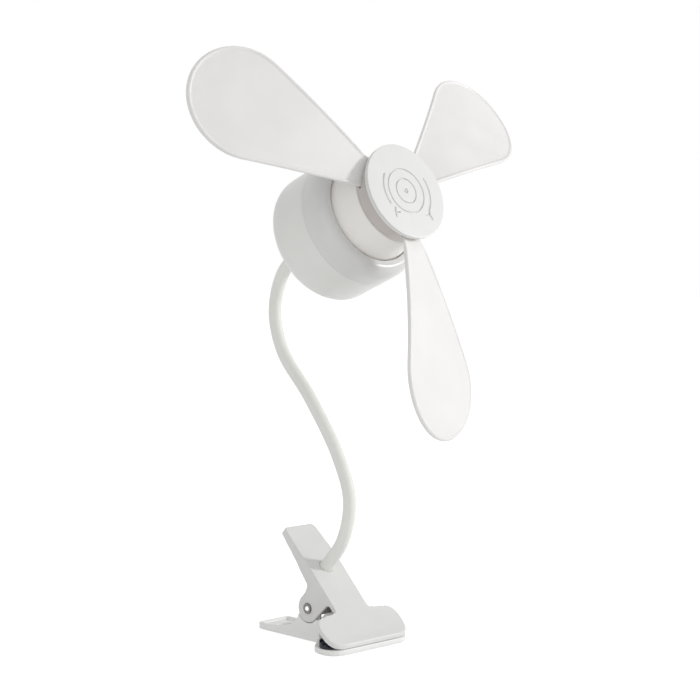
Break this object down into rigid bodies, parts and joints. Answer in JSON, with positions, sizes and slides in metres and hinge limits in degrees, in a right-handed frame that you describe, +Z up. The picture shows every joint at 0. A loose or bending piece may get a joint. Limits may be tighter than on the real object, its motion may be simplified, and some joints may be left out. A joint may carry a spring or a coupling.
{
  "type": "clip fan",
  "caption": "Cordless clip-on fan: soft paddle blades on a round motor head, a bendable gooseneck and a sprung wide-jaw clip.",
  "frame": {"origin": "on the lower jaw's flat underside, in the plane of symmetry, under the middle of the gripping face", "axes": "+Z up, -Y towards the side the fan blows to and the clip's lips, +Y towards the clip's tail, +X to the right seen from the front"},
  "size_m": [0.2369, 0.1446, 0.3246],
  "materials": {
    "shell_white": "satin moulded",
    "hub_grey": "satin moulded",
    "silicone": "matte silicone",
    "blade_soft": "soft satin moulding",
    "pad_rubber": "ribbed",
    "steel": "plain",
    "brass": "turned",
    "cell_sleeve": "shrink sleeve",
    "board_green": "solder mask",
    "ferrite": "sintered",
    "dark_plastic": "moulded",
    "lens_clear": "diffusing"
  },
  "bodies": {
    "clip_lower": {"lower_jaw": "shell_white", "lower_pad": "pad_rubber", "hinge_pin": "steel", "torsion_spring": "steel"},
    "clip_upper": {"upper_jaw": "shell_white", "upper_pad": "pad_rubber", "neck_base_nut": "brass", "neck_sleeve_base": "silicone", "neck_core_base": "steel"},
    "neck_lower": {"neck_sleeve_lower": "silicone", "neck_core_lower": "steel"},
    "neck_upper": {"neck_sleeve_upper": "silicone", "neck_core_upper": "steel"},
    "head": {"neck_sleeve_top": "silicone", "neck_core_top": "steel", "neck_ferrule": "steel", "neck_top_nut": "brass", "rear_shell": "shell_white", "front_bezel": "shell_white", "motor_turret": "shell_white", "chassis_plate": "dark_plastic", "battery_cell": "cell_sleeve", "circuit_board": "board_green", "usb_port": "steel", "tact_switch": "dark_plastic", "indicator_lens": "lens_clear", "motor_can": "steel", "motor_end_cap": "dark_plastic", "magnet_ring": "ferrite", "front_bushing": "brass", "rear_bushing": "brass", "case_screw_1": "steel", "case_screw_2": "steel", "case_screw_3": "steel", "case_screw_4": "steel"},
    "rotor": {"motor_shaft": "steel", "armature": "steel", "commutator": "brass", "hub_drum": "hub_grey", "blade_1": "blade_soft", "blade_2": "blade_soft", "blade_3": "blade_soft"},
    "cap": {"hub_cap": "shell_white"},
    "button": {"power_button": "shell_white"}
  },
  "joints": [
    {"name": "clip_hinge", "type": "hinge", "parent": "clip_lower", "child": "clip_upper", "pos_m": [0, 0.027, 0.0181], "axis": [-1, 0, 0], "range_deg": [0, 28], "stiffness_Nm_per_rad": 0.8, "springref_deg": -34.38, "deforming": ["torsion_spring"]},
    {"name": "neck_bend_low", "type": "hinge", "parent": "clip_upper", "child": "neck_lower", "pos_m": [0, 0.0057, 0.0807], "axis": [1, 0, 0], "range_deg": [-20, 20]},
    {"name": "neck_bend_side", "type": "hinge", "parent": "neck_lower", "child": "neck_upper", "pos_m": [0, 0.0381, 0.1357], "axis": [0, -0.7731, 0.6343], "range_deg": [-20, 20]},
    {"name": "neck_bend_high", "type": "hinge", "parent": "neck_upper", "child": "head", "pos_m": [0, 0.0679, 0.1843], "axis": [1, 0, 0], "range_deg": [-20, 20]},
    {"name": "rotor_spin", "type": "hinge", "parent": "head", "child": "rotor", "pos_m": [0, -0.03158, 0.24886], "axis": [0, -0.9239, 0.3827], "continuous": true},
    {"name": "cap_twist", "type": "hinge", "parent": "rotor", "child": "cap", "pos_m": [0, -0.03158, 0.24886], "axis": [0, -0.9239, 0.3827], "range_deg": [0, 30]},
    {"name": "power_button_press", "type": "slide", "parent": "head", "child": "button", "axis": [0, -0.9239, 0.3827], "range_m": [0, 0.0005], "stiffness_N_per_m": 2500, "springref_m": -0.0003}
  ]
}
